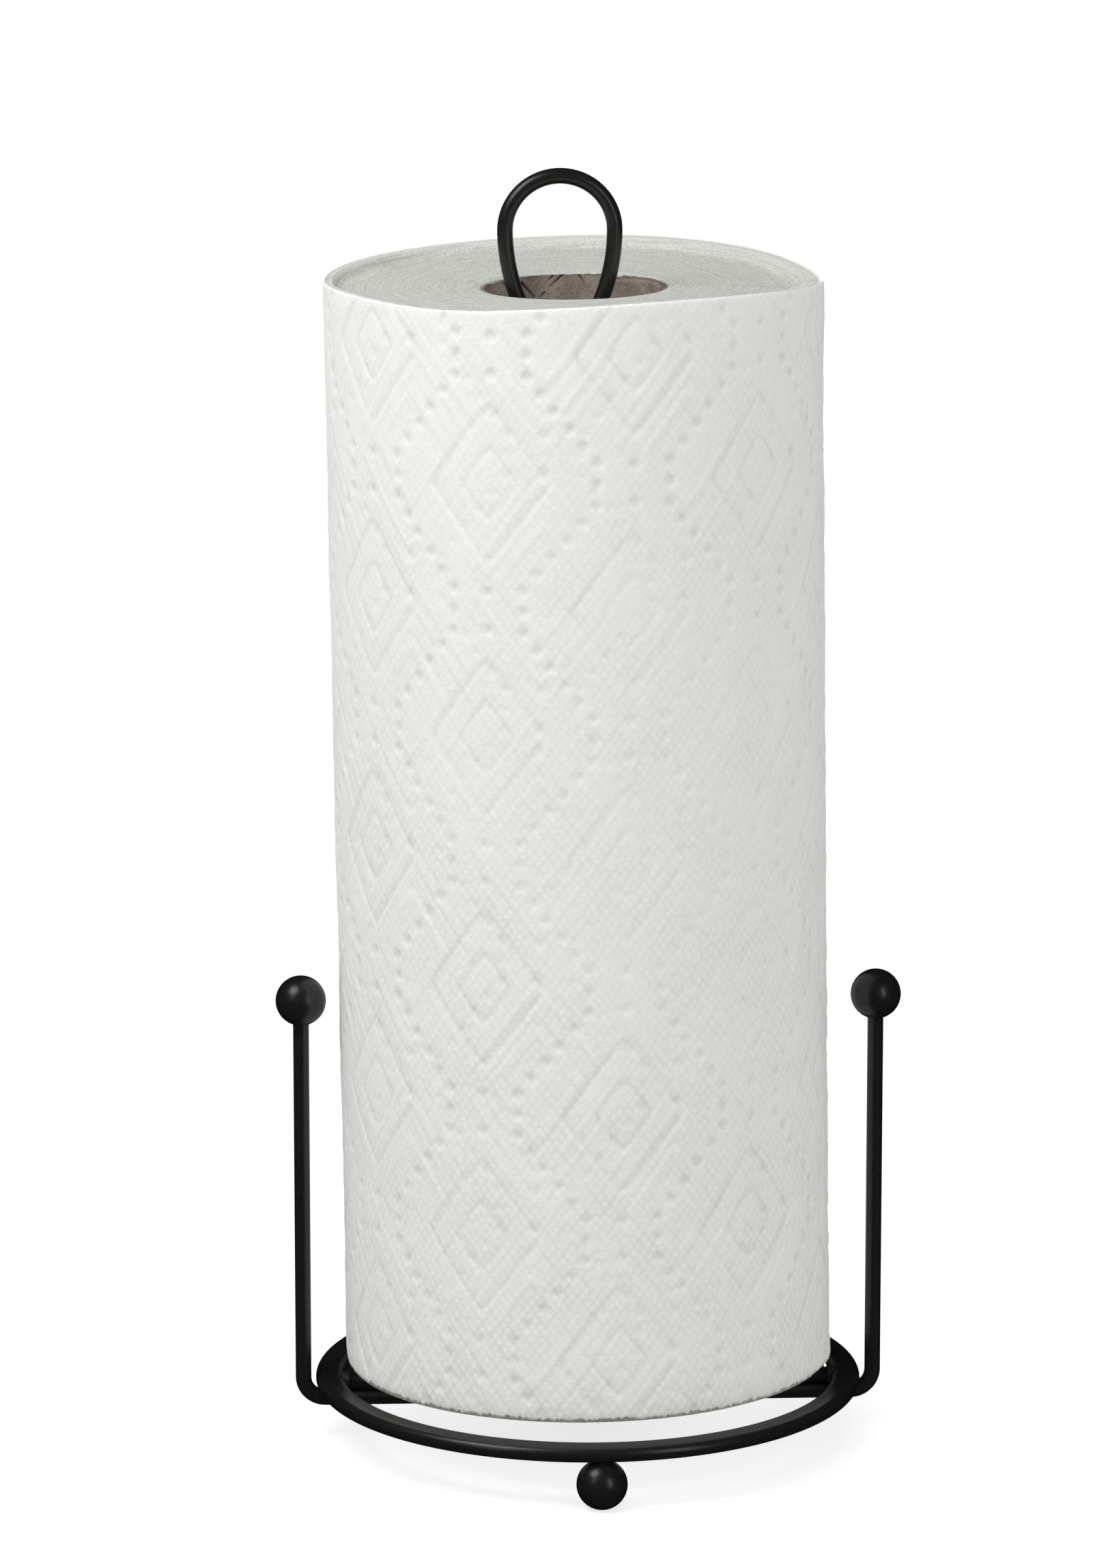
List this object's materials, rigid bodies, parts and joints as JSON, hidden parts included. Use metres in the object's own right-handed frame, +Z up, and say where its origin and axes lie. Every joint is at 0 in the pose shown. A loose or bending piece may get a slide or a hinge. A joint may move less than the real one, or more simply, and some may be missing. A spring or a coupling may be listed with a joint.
{
  "type": "paper towel holder",
  "caption": "Countertop paper towel holder: bent-wire base ring on ball feet, side arms with ball ends and a centre post ending in a carry loop, loaded with a towel roll.",
  "frame": {"origin": "on the table, under the centre of the base ring", "axes": "+Z up, +X to the right arm, -Y to the front foot and the side it is seen from"},
  "size_m": [0.1576, 0.1413, 0.3246],
  "materials": {
    "black_wire": "satin",
    "coated_weld": "satin",
    "core_card": "matte",
    "wound_towels": "matte",
    "last_sheet": "matte"
  },
  "bodies": {
    "frame": {"base_ring": "black_wire", "side_arm_wire": "black_wire", "center_loop_wire": "black_wire", "finial_left": "black_wire", "finial_right": "black_wire", "foot_front": "black_wire", "foot_rear_left": "black_wire", "foot_rear_right": "black_wire", "foot_welds": "coated_weld", "arm_wire_welds": "coated_weld", "loop_wire_end_welds": "coated_weld", "post_tack_welds": "coated_weld"},
    "roll_core": {"core_tube": "core_card"},
    "towels": {"towel_winding": "wound_towels", "outer_sheet": "last_sheet"}
  },
  "joints": [
    {"name": "roll_lift", "type": "slide", "parent": "frame", "child": "roll_core", "axis": [-0.0122, 0.0105, 0.9999], "range_m": [0, 0.32]},
    {"name": "roll_spin", "type": "hinge", "parent": "roll_core", "child": "towels", "pos_m": [0, 0, 0.01677], "axis": [-0.0122, 0.0105, 0.9999], "continuous": true}
  ]
}
